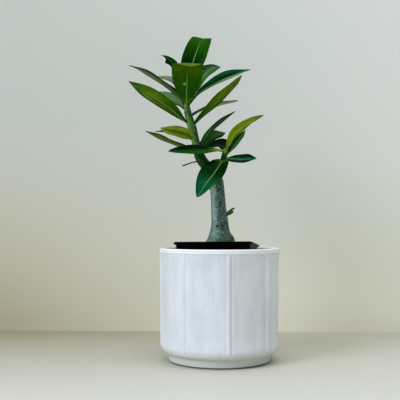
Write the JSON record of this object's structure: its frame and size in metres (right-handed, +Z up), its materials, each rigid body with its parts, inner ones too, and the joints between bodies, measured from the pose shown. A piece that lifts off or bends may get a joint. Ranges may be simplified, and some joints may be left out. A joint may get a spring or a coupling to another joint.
{
  "type": "potted desert rose adenium plant",
  "caption": "Young desert rose with a swollen grey stem and long glossy leaves, in a square growing pot inside a ribbed round ceramic pot.",
  "frame": {"origin": "middle of the ceramic pot's flat underside, on the surface that it stands on", "axes": "+Z up along the pot's axis, -Y towards the viewer's side, +X to the viewer's right"},
  "size_m": [0.1776, 0.14, 0.3883],
  "materials": {
    "white_glaze": "glossy white glaze",
    "black_plastic": "thin satin black thermoformed plastic",
    "potting_mix": "coarse bark and pumice mix",
    "bark": "smooth grey-green bark with fine rings and leaf scars",
    "leaf_dark": "glossy dark green leaf with a pale midrib",
    "leaf_teal": "glossy blue-green leaf with a pale midrib",
    "leaf_olive": "olive green leaf, duller below",
    "leaf_light": "young yellow-green leaf"
  },
  "bodies": {
    "root": {"cachepot": "white_glaze", "nursery_pot": "black_plastic", "soil": "potting_mix", "trunk": "bark", "petiole_stub": "bark", "sprout": "leaf_light", "leaf_top_back": "leaf_dark", "leaf_top_front": "leaf_dark", "leaf_top_curled": "leaf_dark", "leaf_upper_left_long": "leaf_olive", "leaf_upper_left_back": "leaf_teal", "leaf_left_large": "leaf_olive", "leaf_left_rear": "leaf_teal", "leaf_right_teal": "leaf_teal", "leaf_right_rear": "leaf_dark", "leaf_right_olive": "leaf_olive", "leaf_right_grey": "leaf_olive", "leaf_left_short": "leaf_light", "leaf_left_low": "leaf_olive", "leaf_left_low_back": "leaf_olive", "leaf_mid_dark_long": "leaf_teal", "leaf_mid_narrow": "leaf_teal", "leaf_mid_broad": "leaf_dark", "leaf_mid_back": "leaf_teal", "leaf_branch_yellow": "leaf_light", "leaf_branch_under": "leaf_dark", "leaf_branch_teal": "leaf_teal", "leaf_drooping": "leaf_teal"}
  },
  "joints": []
}
